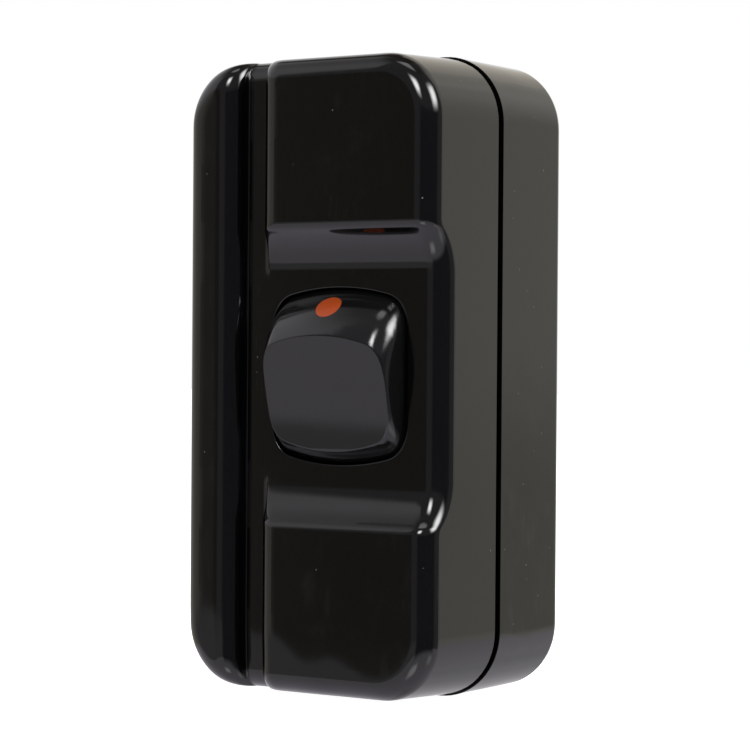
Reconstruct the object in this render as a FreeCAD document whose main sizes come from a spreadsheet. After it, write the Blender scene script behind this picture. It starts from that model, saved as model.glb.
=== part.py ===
import FreeCAD, Part
import math
import os
import Sketcher

# Inline cord switch. X is the width, Y the depth with the front at -Y, Z up along the cord.
# The parting plane of the two shells is Y = 0, and the lower cord entry is centred on the origin.

V = FreeCAD.Vector
doc = FreeCAD.newDocument("inline_cord_switch")
sheet = doc.addObject("Spreadsheet::Sheet", "sizes")


class Size:
    # a value together with the sheet expression that gives it
    def __init__(self, value, text):
        self.value = value
        self.text = text

    def __add__(self, other):
        other = as_size(other)
        return Size(self.value + other.value, f"({self.text} + {other.text})")

    def __sub__(self, other):
        other = as_size(other)
        return Size(self.value - other.value, f"({self.text} - {other.text})")

    def __mul__(self, other):
        other = as_size(other)
        return Size(self.value * other.value, f"({self.text} * {other.text})")

    def __truediv__(self, other):
        other = as_size(other)
        return Size(self.value / other.value, f"({self.text} / {other.text})")

    def __neg__(self):
        return Size(-self.value, f"(-{self.text})")

    def __radd__(self, other):
        return as_size(other) + self

    def __rsub__(self, other):
        return as_size(other) - self

    def __rmul__(self, other):
        return as_size(other) * self


def as_size(amount):
    if isinstance(amount, Size):
        return amount
    return Size(float(amount), f"({float(amount)})")


def root(amount):
    return Size(math.sqrt(amount.value), f"sqrt({amount.text})")


def sine(angle):
    return Size(math.sin(math.radians(angle.value)), f"sin({angle.text} * 1 deg)")


def cosine(angle):
    return Size(math.cos(math.radians(angle.value)), f"cos({angle.text} * 1 deg)")


row_count = 0


def size(alias, value):
    global row_count
    row_count += 1
    sheet.set(f"A{row_count}", alias)
    sheet.set(f"B{row_count}", str(value))
    sheet.setAlias(f"B{row_count}", alias)
    return Size(value, f"sizes.{alias}")


# Case, outside
case_width = size("case_width", 36.4)
case_height = size("case_height", 76.0)
front_depth = size("front_depth", 13.9)
rear_depth = size("rear_depth", 15.0)
corner_radius = size("corner_radius", 8.0)
front_draft = size("front_draft", 2.0)
rear_draft = size("rear_draft", 0.5)
front_edge_radius = size("front_edge_radius", 2.6)
back_edge_radius = size("back_edge_radius", 1.5)
rim_step = size("rim_step", 0.25)
shadow_gap = size("shadow_gap", 0.55)

# Front relief: the channel beside the rail, and the saddle between the blocks
recess_depth = size("recess_depth", 2.8)
channel_share = size("channel_share", 0.2363)
channel_width = size("channel_width", 3.3)
channel_round = size("channel_round", 2.6)
saddle_floor = size("saddle_floor", 23.8)
saddle_length = size("saddle_length", 36.6)
saddle_round = size("saddle_round", 7.1)

# Case, inside
wall = size("wall", 2.2)
lip_height = size("lip_height", 1.5)
lip_clearance = size("lip_clearance", 0.15)
part_clearance = size("part_clearance", 0.3)
overcut = size("overcut", 1.0)
cord_radius = size("cord_radius", 3.4)
cord_clearance = size("cord_clearance", 0.3)
boss_room = size("boss_room", 1.0)
boss_end_room = size("boss_end_room", 1.6)
case_boss_radius = size("case_boss_radius", 3.4)
case_screw_radius = size("case_screw_radius", 1.6)
case_head_radius = size("case_head_radius", 2.9)
case_head_height = size("case_head_height", 2.2)
case_head_sink = size("case_head_sink", 6.5)
insert_radius = size("insert_radius", 2.3)
insert_length = size("insert_length", 7.0)
thread_clearance = size("thread_clearance", 0.08)

# Rocker
rocker_place_share = size("rocker_place_share", 0.0879)
rocker_share = size("rocker_share", 0.5055)
rocker_radius = size("rocker_radius", 11.5)
rocker_crown = size("rocker_crown", 0.6)
rocker_corner = size("rocker_corner", 3.0)
rocker_rise = size("rocker_rise", 8.85)
rocker_taper = size("rocker_taper", 10.0)
rocker_skirt = size("rocker_skirt", 1.0)
rocker_wall = size("rocker_wall", 1.8)
rocker_edge = size("rocker_edge", 0.25)
rocker_ease = size("rocker_ease", 4.0)
face_dish_radius = size("face_dish_radius", 80.0)
rocker_tilt = size("rocker_tilt", 12.5)
aperture_clearance = size("aperture_clearance", 0.35)
aperture_edge = size("aperture_edge", 0.25)
pivot_depth = size("pivot_depth", 5.85)
trunnion_radius = size("trunnion_radius", 1.8)
trunnion_length = size("trunnion_length", 1.8)
running_clearance = size("running_clearance", 0.06)
dot_radius = size("dot_radius", 1.65)
dot_angle = size("dot_angle", 58.0)
dot_depth = size("dot_depth", 0.9)
dot_clearance = size("dot_clearance", 0.02)

# Plunger and spring in the rocker's hub
hub_radius = size("hub_radius", 2.7)
hub_reach = size("hub_reach", 3.2)
plunger_radius = size("plunger_radius", 1.5)
plunger_reach = size("plunger_reach", 6.75)
plunger_tail = size("plunger_tail", 1.0)
bore_depth = size("bore_depth", 5.6)
spring_wire = size("spring_wire", 0.4)
spring_pitch = size("spring_pitch", 1.3)

# Cradle and live metal
base_depth = size("base_depth", 4.4)
base_thickness = size("base_thickness", 1.6)
base_share = size("base_share", 0.487)
cheek_thickness = size("cheek_thickness", 2.0)
cheek_length = size("cheek_length", 12.0)
mechanism_screw_inset = size("mechanism_screw_inset", 3.0)
mechanism_boss_radius = size("mechanism_boss_radius", 2.8)
mechanism_screw_radius = size("mechanism_screw_radius", 1.3)
mechanism_screw_length = size("mechanism_screw_length", 9.0)
small_head_radius = size("small_head_radius", 2.3)
small_head_height = size("small_head_height", 1.5)
strip_thickness = size("strip_thickness", 0.8)
strip_width = size("strip_width", 4.0)
seesaw_tilt = size("seesaw_tilt", 6.0)
seesaw_reach = size("seesaw_reach", 9.2)
seesaw_valley = size("seesaw_valley", 3.5)
seesaw_rise = size("seesaw_rise", 0.74)
seesaw_pin_radius = size("seesaw_pin_radius", 0.8)
seesaw_pin_length = size("seesaw_pin_length", 9.6)
bracket_gap = size("bracket_gap", 6.8)
bracket_length = size("bracket_length", 5.0)
contact_place = size("contact_place", 7.5)
contact_radius = size("contact_radius", 1.5)
moving_tip_height = size("moving_tip_height", 0.4)
contact_gap = size("contact_gap", 0.1)
terminal_width = size("terminal_width", 6.0)
terminal_height = size("terminal_height", 6.5)
terminal_length = size("terminal_length", 6.4)
wire_hole_radius = size("wire_hole_radius", 1.5)
terminal_screw_radius = size("terminal_screw_radius", 1.3)
connector_length = size("connector_length", 10.4)
connector_span = size("connector_span", 14.0)
connector_pitch = size("connector_pitch", 5.2)
clamp_width = size("clamp_width", 5.6)
clamp_thickness = size("clamp_thickness", 2.0)
clamp_span = size("clamp_span", 15.4)
clamp_boss_radius = size("clamp_boss_radius", 2.4)
clamp_screw_length = size("clamp_screw_length", 8.0)
slot_width = size("slot_width", 0.8)
slot_depth = size("slot_depth", 0.7)
doc.recompute()

# Places that several pieces share
middle = case_height / 2
channel_place = channel_share * case_width
rocker_place = rocker_place_share * case_width
rocker_width = rocker_share * case_width
inner_half = case_width / 2 - wall
case_screw_place = inner_half - case_boss_radius - boss_room
case_screw_inset = wall + case_boss_radius + boss_end_room
base_length = base_share * case_height
base_low = middle - base_length / 2
clamp_inset = (case_screw_inset + case_boss_radius + base_low) / 2
connector_place = inner_half - part_clearance - terminal_width / 2
saddle_depth = front_depth - recess_depth
front_room = saddle_depth - wall
pivot_y = -(saddle_depth - pivot_depth)
rocker_half = rocker_width / 2
crown_flat = rocker_half - rocker_corner
crown_radius = (crown_flat * crown_flat + rocker_crown * rocker_crown) / (2 * rocker_crown)
crown_centre = rocker_radius - crown_radius
hub_tip_y = pivot_y + plunger_reach
seesaw_y = hub_tip_y + part_clearance + strip_thickness
base_y = base_depth
strip_y = base_y - strip_thickness
terminal_x = rocker_place + rocker_half - strip_width / 2
mechanism_low = base_low + mechanism_screw_inset
mechanism_high = case_height - mechanism_low
case_screw_high = case_height - case_screw_inset
connector_low = middle - connector_span / 2
connector_high = middle + connector_span / 2
cord_hole_radius = cord_radius + cord_clearance


def bind(thing, prop, amount):
    thing.setExpression(prop, as_size(amount).text)


def new_body(label):
    body = doc.addObject("PartDesign::Body", label)
    body.Label = label
    return body


def plane_of(body, role):
    return next(item for item in body.Origin.OriginFeatures if item.Role == role)


def sketch_on(body, name, role, x=0, y=0, z=0):
    sketch = body.newObject("Sketcher::SketchObject", name)
    sketch.AttachmentSupport = (plane_of(body, role), [""])
    sketch.MapMode = "FlatFace"
    bind(sketch, "AttachmentOffset.Base.x", x)
    bind(sketch, "AttachmentOffset.Base.y", y)
    bind(sketch, "AttachmentOffset.Base.z", z)
    return sketch


def fix(sketch, kind, where, amount):
    amount = as_size(amount)
    index = sketch.addConstraint(Sketcher.Constraint(kind, *where, amount.value))
    name = f"{kind}{index}"
    sketch.renameConstraint(index, name)
    sketch.setExpression(f"Constraints.{name}", amount.text)


def arc_between(start, stop, radius, turn):
    # turn +1 keeps the centre on the left of the way from start to stop, -1 on the right
    chord = stop - start
    left = V(-chord.y, chord.x, 0).normalize()
    rise = math.sqrt(max(radius ** 2 - (chord.Length / 2) ** 2, 0))
    centre = (start + stop) * 0.5 + left * (rise * turn)
    ends = (start, stop) if turn > 0 else (stop, start)
    angles = [math.atan2(point.y - centre.y, point.x - centre.x) for point in ends]
    return Part.ArcOfCircle(Part.Circle(centre, V(0, 0, 1), radius), *angles)


def outline(sketch, corners):
    # each corner is (u, v), or (u, v, radius, turn) where an arc leads to the next corner
    places = [(as_size(corner[0]), as_size(corner[1])) for corner in corners]
    points = [V(u.value, v.value, 0) for u, v in places]
    pieces = []
    for k, corner in enumerate(corners):
        start = points[k]
        stop = points[(k + 1) % len(points)]
        if len(corner) == 2:
            index = sketch.addGeometry(Part.LineSegment(start, stop), False)
            pieces.append((index, 1, 2))
        else:
            radius = as_size(corner[2])
            index = sketch.addGeometry(arc_between(start, stop, radius.value, corner[3]), False)
            pieces.append((index, 1, 2) if corner[3] > 0 else (index, 2, 1))
    for k, (index, first, last) in enumerate(pieces):
        before = pieces[k - 1]
        sketch.addConstraint(Sketcher.Constraint("Coincident", before[0], before[2], index, first))
        fix(sketch, "DistanceX", (-1, 1, index, first), places[k][0])
        fix(sketch, "DistanceY", (-1, 1, index, first), places[k][1])
    for corner, (index, first, last) in zip(corners, pieces):
        if len(corner) == 4:
            fix(sketch, "Radius", (index,), corner[2])


def rounded_rectangle(sketch, u, v, width, height, radius):
    left, right = u - width / 2, u + width / 2
    low, high = v - height / 2, v + height / 2
    outline(sketch, [
        (left + radius, low), (right - radius, low, radius, 1),
        (right, low + radius), (right, high - radius, radius, 1),
        (right - radius, high), (left + radius, high, radius, 1),
        (left, high - radius), (left, low + radius, radius, 1),
    ])


def rectangle(sketch, left, low, right, high):
    outline(sketch, [(left, low), (right, low), (right, high), (left, high)])


def circle(sketch, u, v, radius):
    u, v, radius = as_size(u), as_size(v), as_size(radius)
    shape = Part.Circle(V(u.value, v.value, 0), V(0, 0, 1), radius.value)
    index = sketch.addGeometry(shape, False)
    fix(sketch, "DistanceX", (-1, 1, index, 3), u)
    fix(sketch, "DistanceY", (-1, 1, index, 3), v)
    fix(sketch, "Radius", (index,), radius)


def extrude(body, kind, sketch, length, flip=False, taper=None):
    feature = body.newObject(f"PartDesign::{kind}", f"{sketch.Name}_{kind.lower()}")
    feature.Profile = sketch
    feature.Reversed = flip
    bind(feature, "Length", length)
    if taper is not None:
        bind(feature, "TaperAngle", -taper)
    body.Tip = feature
    return feature


def pad(body, sketch, length, flip=False, taper=None):
    return extrude(body, "Pad", sketch, length, flip, taper)


def pocket(body, sketch, length, flip=False, taper=None):
    return extrude(body, "Pocket", sketch, length, flip, taper)


def turn_about(body, kind, sketch, axis):
    feature = body.newObject(f"PartDesign::{kind}", f"{sketch.Name}_{kind.lower()}")
    feature.Profile = sketch
    feature.ReferenceAxis = (sketch, [axis])
    feature.Angle = 360
    body.Tip = feature
    return feature


def fillet(body, name, radius, wanted):
    doc.recompute()
    base = body.Tip
    edges = [f"Edge{k}" for k, edge in enumerate(base.Shape.Edges, start=1) if wanted(edge)]
    feature = body.newObject("PartDesign::Fillet", name)
    feature.Base = (base, edges)
    bind(feature, "Radius", radius)
    body.Tip = feature
    return feature


def place(thing, x, y, z, tilt=0):
    spot = "; ".join(as_size(part).text for part in (x, y, z))
    angle = as_size(tilt).text
    thing.setExpression("Placement", f"create(<<placement>>; create(<<vector>>; {spot}); "
                        f"create(<<rotation>>; create(<<vector>>; 1; 0; 0); {angle}))")


def cut(label, base, tool):
    feature = doc.addObject("Part::Cut", label)
    feature.Label = label
    feature.Base = base
    feature.Tool = tool
    return feature


def common(label, base, tool):
    feature = doc.addObject("Part::Common", label)
    feature.Label = label
    feature.Base = base
    feature.Tool = tool
    return feature


def middle_of(edge):
    first, last = edge.ParameterRange
    return edge.valueAt((first + last) / 2)


def along_depth(edge):
    ends = edge.valueAt(edge.ParameterRange[1]) - edge.valueAt(edge.ParameterRange[0])
    return abs(ends.y) > 0.95 * edge.Length


def off_outline(point):
    # distance inside the case's plan outline, which shrinks with the draft towards the front
    inset = abs(point.y) * math.tan(math.radians(front_draft.value if point.y < 0 else rear_draft.value))
    radius = corner_radius.value - inset
    dx = abs(point.x) - (case_width.value / 2 - inset - radius)
    dz = abs(point.z - middle.value) - (middle.value - inset - radius)
    return radius - math.hypot(max(dx, 0), max(dz, 0)) - min(max(dx, dz), 0)


# Front shell

def opening_profile(sketch):
    # half section of the rocker about its pivot line, grown by the clearance: crown and tangent corner arcs
    half = rocker_half + aperture_clearance
    corner = rocker_corner + aperture_clearance
    crown = crown_radius + aperture_clearance
    inner = crown_radius - rocker_corner
    shoulder = root(inner * inner - crown_flat * crown_flat)
    corner_y = crown_centre + shoulder
    touch_x = crown_flat * crown / inner
    touch_y = crown_centre + shoulder * crown / inner
    outline(sketch, [
        (-half, 0), (half, 0), (half, corner_y, corner, 1),
        (touch_x, touch_y, crown, 1), (-touch_x, touch_y, corner, 1), (-half, corner_y),
    ])


def saddle_profile(sketch):
    # S-shaped walls: a convex arc leaves the top face, a concave one of saddle_round lands on the floor
    run = (saddle_length - saddle_floor) / 2
    reach = run * run + recess_depth * recess_depth
    convex = reach / (2 * recess_depth) - saddle_round
    step_z = saddle_round * 2 * recess_depth * run / reach
    step_y = saddle_round * 2 * recess_depth * recess_depth / reach
    top, floor = -front_depth, -saddle_depth
    low, high = middle - saddle_floor / 2, middle + saddle_floor / 2
    outline(sketch, [
        (floor, high, saddle_round, 1), (floor - step_y, high + step_z, convex, -1), (top, high + run),
        (top - overcut, high + run), (top - overcut, low - run), (top, low - run, convex, -1),
        (floor - step_y, low - step_z, saddle_round, 1), (floor, low),
    ])


def channel_profile(sketch):
    # flat floor between two rounded shoulders
    left = -channel_place - channel_width / 2
    right = -channel_place + channel_width / 2
    top, floor = -front_depth, -saddle_depth
    outline(sketch, [
        (left, floor), (right, floor), (right, top + channel_round, channel_round, 1),
        (right + channel_round, top), (right + channel_round, top - overcut),
        (left - channel_round, top - overcut), (left - channel_round, top, channel_round, 1),
        (left, top + channel_round),
    ])


def front_edge(edge):
    point = middle_of(edge)
    at_front = point.y < -saddle_depth.value + 0.01
    return at_front and not along_depth(edge) and abs(off_outline(point)) < 0.05


def opening_edge(edge):
    # the rim of the rocker opening on the saddle's floor
    point = middle_of(edge)
    on_floor = abs(point.y + saddle_depth.value) < 0.01
    near_x = abs(point.x - rocker_place.value) < rocker_half.value + 2 * aperture_clearance.value
    return on_floor and near_x and abs(point.z - middle.value) < rocker_radius.value


front = new_body("front_shell")
sketch = sketch_on(front, "front_plan", "XZ_Plane")
rounded_rectangle(sketch, as_size(0), middle, case_width, case_height, corner_radius)
pad(front, sketch, front_depth, taper=front_draft)
sketch = sketch_on(front, "saddle", "YZ_Plane", z=-channel_place)
saddle_profile(sketch)
pocket(front, sketch, case_width, flip=True)
fillet(front, "front_edges", front_edge_radius, front_edge)
sketch = sketch_on(front, "channel", "XY_Plane", z=-overcut)
channel_profile(sketch)
pocket(front, sketch, case_height + 2 * overcut, flip=True)
inner_width, inner_height = case_width - 2 * wall, case_height - 2 * wall
inner_radius = corner_radius - wall
sketch = sketch_on(front, "front_cavity", "XZ_Plane")
rounded_rectangle(sketch, as_size(0), middle, inner_width, inner_height, inner_radius)
pocket(front, sketch, front_room, flip=True, taper=front_draft)

block_left = wall + channel_width / 2 + channel_round - channel_place
block_right = case_width / 2 - wall - front_edge_radius / 2
block_inner = saddle_length / 2 + part_clearance
block_outer = middle - wall - front_edge_radius / 2
for name, low, high in (("upper_block", middle + block_inner, middle + block_outer),
                        ("lower_block", middle - block_outer, middle - block_inner)):
    sketch = sketch_on(front, f"{name}_hollow", "XZ_Plane")
    rectangle(sketch, block_left, low, block_right, high)
    pocket(front, sketch, front_depth - wall, flip=True, taper=front_draft)

sketch = sketch_on(front, "shadow_line", "XZ_Plane")
rounded_rectangle(sketch, as_size(0), middle, case_width + wall, case_height + wall, corner_radius + wall / 2)
rounded_rectangle(sketch, as_size(0), middle, case_width - wall, case_height - wall, corner_radius - wall / 2)
pocket(front, sketch, shadow_gap, flip=True)
sketch = sketch_on(front, "locating_lip", "XZ_Plane")
rounded_rectangle(sketch, as_size(0), middle, case_width - wall, case_height - wall, corner_radius - wall / 2)
rounded_rectangle(sketch, as_size(0), middle, inner_width, inner_height, inner_radius)
pad(front, sketch, lip_height, flip=True)

case_screw_spots = [(case_screw_place, case_screw_inset), (-case_screw_place, case_screw_high)]
mechanism_spots = [(rocker_place, mechanism_low), (rocker_place, mechanism_high)]
sketch = sketch_on(front, "insert_bosses", "XZ_Plane")
for x, z in case_screw_spots:
    circle(sketch, x, z, case_boss_radius)
pad(front, sketch, front_room + wall / 2)
sketch = sketch_on(front, "mechanism_bosses", "XZ_Plane", z=-base_y)
for x, z in mechanism_spots:
    circle(sketch, x, z, mechanism_boss_radius)
pad(front, sketch, base_y + front_room + wall / 2)
sketch = sketch_on(front, "insert_pockets", "XZ_Plane")
for x, z in case_screw_spots:
    circle(sketch, x, z, insert_radius + thread_clearance)
pocket(front, sketch, insert_length, flip=True)
sketch = sketch_on(front, "mechanism_pilots", "XZ_Plane", z=-base_y)
for x, z in mechanism_spots:
    circle(sketch, x, z, mechanism_screw_radius + thread_clearance)
pocket(front, sketch, mechanism_screw_length, flip=True)
sketch = sketch_on(front, "rocker_opening", "XY_Plane", rocker_place, pivot_y, middle)
opening_profile(sketch)
turn_about(front, "Groove", sketch, "H_Axis")
fillet(front, "opening_edges", aperture_edge, opening_edge)
for name, z in (("front_lower_entry", -overcut), ("front_upper_entry", case_height - wall - overcut)):
    sketch = sketch_on(front, name, "XY_Plane", z=z)
    circle(sketch, 0, 0, cord_hole_radius)
    pocket(front, sketch, wall + 2 * overcut, flip=True)


# Rear shell

def back_edge(edge):
    return middle_of(edge).y > rear_depth.value - 0.01


rear = new_body("rear_shell")
rear_width, rear_height = case_width + 2 * rim_step, case_height + 2 * rim_step
rear_floor = rear_depth - wall
sketch = sketch_on(rear, "rear_plan", "XZ_Plane")
rounded_rectangle(sketch, as_size(0), middle, rear_width, rear_height, corner_radius + rim_step)
pad(rear, sketch, rear_depth, flip=True, taper=rear_draft)
fillet(rear, "back_edges", back_edge_radius, back_edge)
sketch = sketch_on(rear, "rear_cavity", "XZ_Plane")
rounded_rectangle(sketch, as_size(0), middle, inner_width, inner_height, inner_radius)
pocket(rear, sketch, rear_floor, taper=rear_draft)
sketch = sketch_on(rear, "lip_seat", "XZ_Plane")
seat_growth = 2 * lip_clearance - wall
rounded_rectangle(sketch, as_size(0), middle, case_width + seat_growth, case_height + seat_growth,
                  corner_radius + seat_growth / 2)
pocket(rear, sketch, lip_height)

clamp_spots = [(side * clamp_span / 2, z) for side in (-1, 1)
               for z in (clamp_inset, case_height - clamp_inset)]
saddle_half = cord_radius + clamp_thickness / 2
sketch = sketch_on(rear, "rear_posts", "XZ_Plane")
for x, z in case_screw_spots:
    circle(sketch, x, z, case_boss_radius)
pad(rear, sketch, rear_floor + wall / 2, flip=True)
sketch = sketch_on(rear, "clamp_bosses", "XZ_Plane")
for x, z in clamp_spots:
    circle(sketch, x, z, clamp_boss_radius)
pad(rear, sketch, rear_floor + wall / 2, flip=True)
sketch = sketch_on(rear, "cord_rests", "XZ_Plane")
for z in (clamp_inset, case_height - clamp_inset):
    rectangle(sketch, -saddle_half, z - clamp_width / 2, saddle_half, z + clamp_width / 2)
pad(rear, sketch, rear_floor + wall / 2, flip=True)
for name, z in (("lower_rest_groove", clamp_inset - clamp_width / 2 - overcut),
                ("upper_rest_groove", case_height - clamp_inset - clamp_width / 2 - overcut)):
    sketch = sketch_on(rear, name, "XY_Plane", z=z)
    circle(sketch, 0, 0, cord_radius)
    pocket(rear, sketch, clamp_width + 2 * overcut, flip=True)
sketch = sketch_on(rear, "clamp_pilots", "XZ_Plane")
for x, z in clamp_spots:
    circle(sketch, x, z, mechanism_screw_radius + thread_clearance)
pocket(rear, sketch, clamp_screw_length)
sketch = sketch_on(rear, "case_screw_holes", "XZ_Plane")
for x, z in case_screw_spots:
    circle(sketch, x, z, case_screw_radius + thread_clearance)
pocket(rear, sketch, rear_depth + overcut)
sketch = sketch_on(rear, "case_screw_sinks", "XZ_Plane", z=-rear_depth)
for x, z in case_screw_spots:
    circle(sketch, x, z, case_head_radius + part_clearance)
pocket(rear, sketch, case_head_sink, flip=True)
for name, z in (("rear_lower_entry", -overcut), ("rear_upper_entry", case_height - wall - overcut)):
    sketch = sketch_on(rear, name, "XY_Plane", z=z)
    circle(sketch, 0, 0, cord_hole_radius)
    pocket(rear, sketch, wall + 2 * overcut, flip=True)


# Rocker, drawn about its own pivot with the front at -Y, then tilted to its on position

pivot = (rocker_place, pivot_y, middle, rocker_tilt)
barrel = new_body("rocker_barrel")
sketch = sketch_on(barrel, "barrel", "XY_Plane")
crown_side = crown_centre + root(crown_radius * crown_radius - rocker_half * rocker_half)
outline(sketch, [
    (-rocker_half, 0), (rocker_half, 0), (rocker_half, crown_side, crown_radius, 1), (-rocker_half, crown_side),
])
turn_about(barrel, "Revolution", sketch, "H_Axis")

plan = new_body("rocker_plan")
plan_half = rocker_radius + overcut
sketch = sketch_on(plan, "skirt_plan", "XZ_Plane", z=rocker_skirt)
rectangle(sketch, -rocker_half, -plan_half, rocker_half, plan_half)
pad(plan, sketch, pivot_depth - rocker_skirt)
sketch = sketch_on(plan, "crown_plan", "XZ_Plane", z=pivot_depth)
rectangle(sketch, -rocker_half, -plan_half, rocker_half, plan_half)
pad(plan, sketch, rocker_radius - pivot_depth, taper=rocker_taper)

dish = doc.addObject("Part::Cylinder", "face_dish")
bind(dish, "Radius", face_dish_radius)
bind(dish, "Height", 2 * rocker_width)
dish.setExpression("Placement", f"create(<<placement>>; create(<<vector>>; {(-rocker_width).text}; "
                   f"{(-(rocker_rise + face_dish_radius)).text}; 0); "
                   f"create(<<rotation>>; create(<<vector>>; 0; 1; 0); 90))")


def rounded(label, base, radius, wanted):
    doc.recompute()
    feature = doc.addObject("Part::Fillet", label)
    feature.Base = base
    feature.Edges = [(k, radius.value, radius.value)
                     for k, edge in enumerate(base.Shape.Edges, start=1) if wanted(edge)]
    return feature


def taper_edge(edge):
    # where the straight side of the skirt turns into the tapered side
    point = middle_of(edge)
    return abs(point.y + pivot_depth.value) < 0.01 and abs(abs(point.x) - rocker_half.value) < 0.01


def corner_edge(edge):
    # where the sides meet the crowned skirt, above the skirt's lower end
    point = middle_of(edge)
    crown = crown_centre.value + math.sqrt(crown_radius.value ** 2 - point.x ** 2)
    on_crown = abs(math.hypot(point.y, point.z) - crown) < 0.02
    return on_crown and abs(point.x) > crown_flat.value and abs(point.y + rocker_skirt.value) > 0.02


def face_rim(edge):
    # edges that bound the dished face
    axis_height = rocker_rise.value + face_dish_radius.value
    spots = [edge.valueAt(edge.FirstParameter + share * (edge.LastParameter - edge.FirstParameter))
             for share in (0.1, 0.5, 0.9)]
    return all(abs(math.hypot(p.y + axis_height, p.z) - face_dish_radius.value) < 0.01 for p in spots)


crowned = common("rocker_crowned", barrel, plan)
eased = rounded("rocker_eased", crowned, rocker_ease, taper_edge)
cornered = rounded("rocker_cornered", eased, rocker_corner, corner_edge)
faced = cut("rocker_faced", cornered, dish)
rimmed = rounded("rocker_rimmed", faced, rocker_edge, face_rim)

hollow = new_body("rocker_hollow")
sketch = sketch_on(hollow, "hollow_plan", "XZ_Plane")
hollow_height = 2 * root(rocker_radius * rocker_radius - rocker_rise * rocker_rise)
rounded_rectangle(sketch, as_size(0), as_size(0), rocker_width - 2 * rocker_wall, hollow_height, rocker_wall)
pad(hollow, sketch, rocker_rise - rocker_wall)
sketch = sketch_on(hollow, "hub_island", "XZ_Plane", z=-overcut)
circle(sketch, 0, 0, hub_radius)
pocket(hollow, sketch, rocker_radius, flip=True)

hub = new_body("rocker_hub")
sketch = sketch_on(hub, "hub_plan", "XZ_Plane", z=-hub_reach)
circle(sketch, 0, 0, hub_radius)
pad(hub, sketch, hub_reach + rocker_rise - rocker_wall / 2)
for name, x in (("left_lug", -rocker_half), ("right_lug", rocker_half - rocker_wall)):
    sketch = sketch_on(hub, name, "YZ_Plane", z=x)
    lug_half = 2 * trunnion_radius
    outline(sketch, [
        (-rocker_skirt - overcut, -lug_half), (0, -lug_half, lug_half, 1),
        (lug_half, 0, lug_half, 1), (0, lug_half), (-rocker_skirt - overcut, lug_half),
    ])
    pad(hub, sketch, rocker_wall)
sketch = sketch_on(hub, "trunnions", "YZ_Plane", z=-rocker_half - trunnion_length)
circle(sketch, 0, 0, trunnion_radius)
pad(hub, sketch, trunnion_length + rocker_wall / 2)
sketch = sketch_on(hub, "far_trunnion", "YZ_Plane", z=rocker_half - rocker_wall / 2)
circle(sketch, 0, 0, trunnion_radius)
pad(hub, sketch, trunnion_length + rocker_wall / 2)

bores = new_body("rocker_bores")
sketch = sketch_on(bores, "plunger_bore", "XZ_Plane", z=-hub_reach - overcut)
circle(sketch, 0, 0, plunger_radius + running_clearance)
pad(bores, sketch, hub_reach + overcut + bore_depth)

fused = doc.addObject("Part::Fuse", "rocker_fused")
fused.Base = cut("rocker_hollowed", rimmed, hollow)
fused.Tool = hub
bored = cut("rocker_bored", fused, bores)


def dot_cylinder(name, radius, depth):
    # a pin that stands along the skirt's radius at the dot's angle above the face's normal
    pin = doc.addObject("Part::Cylinder", name)
    bind(pin, "Radius", radius)
    bind(pin, "Height", depth + overcut)
    start = rocker_radius - depth
    pin.setExpression("Placement", f"create(<<placement>>; create(<<vector>>; 0; "
                      f"-{start.text} * cos({dot_angle.text} * 1 deg); "
                      f"{start.text} * sin({dot_angle.text} * 1 deg)); "
                      f"create(<<rotation>>; create(<<vector>>; 1; 0; 0); 90 - {dot_angle.text}))")
    return pin


rocker = cut("rocker", bored, dot_cylinder("dot_seat", dot_radius + dot_clearance, dot_depth))
place(rocker, *pivot)
dot = common("on_indicator_dot", dot_cylinder("dot_pin", dot_radius, dot_depth), barrel)
place(dot, *pivot)

# Plunger and spring ride in the rocker's hub
plunger = new_body("plunger")
sketch = sketch_on(plunger, "plunger_section", "XY_Plane")
nose = plunger_reach - plunger_radius
outline(sketch, [
    (0, -plunger_tail), (plunger_radius, -plunger_tail), (plunger_radius, nose, plunger_radius, 1),
    (0, plunger_reach),
])
turn_about(plunger, "Revolution", sketch, "V_Axis")
place(plunger, *pivot)

spring = new_body("plunger_spring")
spring_radius = plunger_radius - spring_wire / 2 - running_clearance
spring_length = bore_depth - plunger_tail - spring_wire
sketch = sketch_on(spring, "spring_wire_section", "XY_Plane")
circle(sketch, spring_radius, -bore_depth + spring_wire / 2, spring_wire / 2)
helix = spring.newObject("PartDesign::AdditiveHelix", "spring_coils")
helix.Profile = sketch
helix.ReferenceAxis = (sketch, ["V_Axis"])
helix.Mode = "pitch-height-angle"
bind(helix, "Pitch", spring_pitch)
bind(helix, "Height", spring_length)
spring.Tip = helix
place(spring, *pivot)

# Cradle: a plate behind the rocker with two cheeks that carry its trunnions
base = new_body("switch_base")
base_left = -(connector_place + terminal_width / 2)
base_right = rocker_place + rocker_half + part_clearance + cheek_thickness
sketch = sketch_on(base, "base_plate", "XZ_Plane", z=-base_y)
rectangle(sketch, base_left, base_low, base_right, base_low + base_length)
pad(base, sketch, base_thickness, flip=True)
cheek_low, cheek_high = middle - cheek_length / 2, middle + cheek_length / 2
sketch = sketch_on(base, "cheeks", "XZ_Plane", z=-base_y - base_thickness)
for inside in (rocker_place - rocker_half - part_clearance - cheek_thickness,
               rocker_place + rocker_half + part_clearance):
    rectangle(sketch, inside, cheek_low, inside + cheek_thickness, cheek_high)
pad(base, sketch, base_y + base_thickness + front_room - part_clearance)
sketch = sketch_on(base, "trunnion_bores", "YZ_Plane", z=-case_width / 2)
circle(sketch, pivot_y, middle, trunnion_radius + running_clearance)
pocket(base, sketch, case_width, flip=True)
terminal_spots = [(terminal_x, mechanism_low), (terminal_x, mechanism_high)]
connector_spots = [(-connector_place, z + side * connector_pitch / 2)
                   for z in (connector_low, connector_high) for side in (-1, 1)]
screw_spots = terminal_spots + connector_spots
sketch = sketch_on(base, "screw_holes", "XZ_Plane", z=-base_y)
for x, z in screw_spots:
    circle(sketch, x, z, terminal_screw_radius + 2 * thread_clearance)
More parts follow.
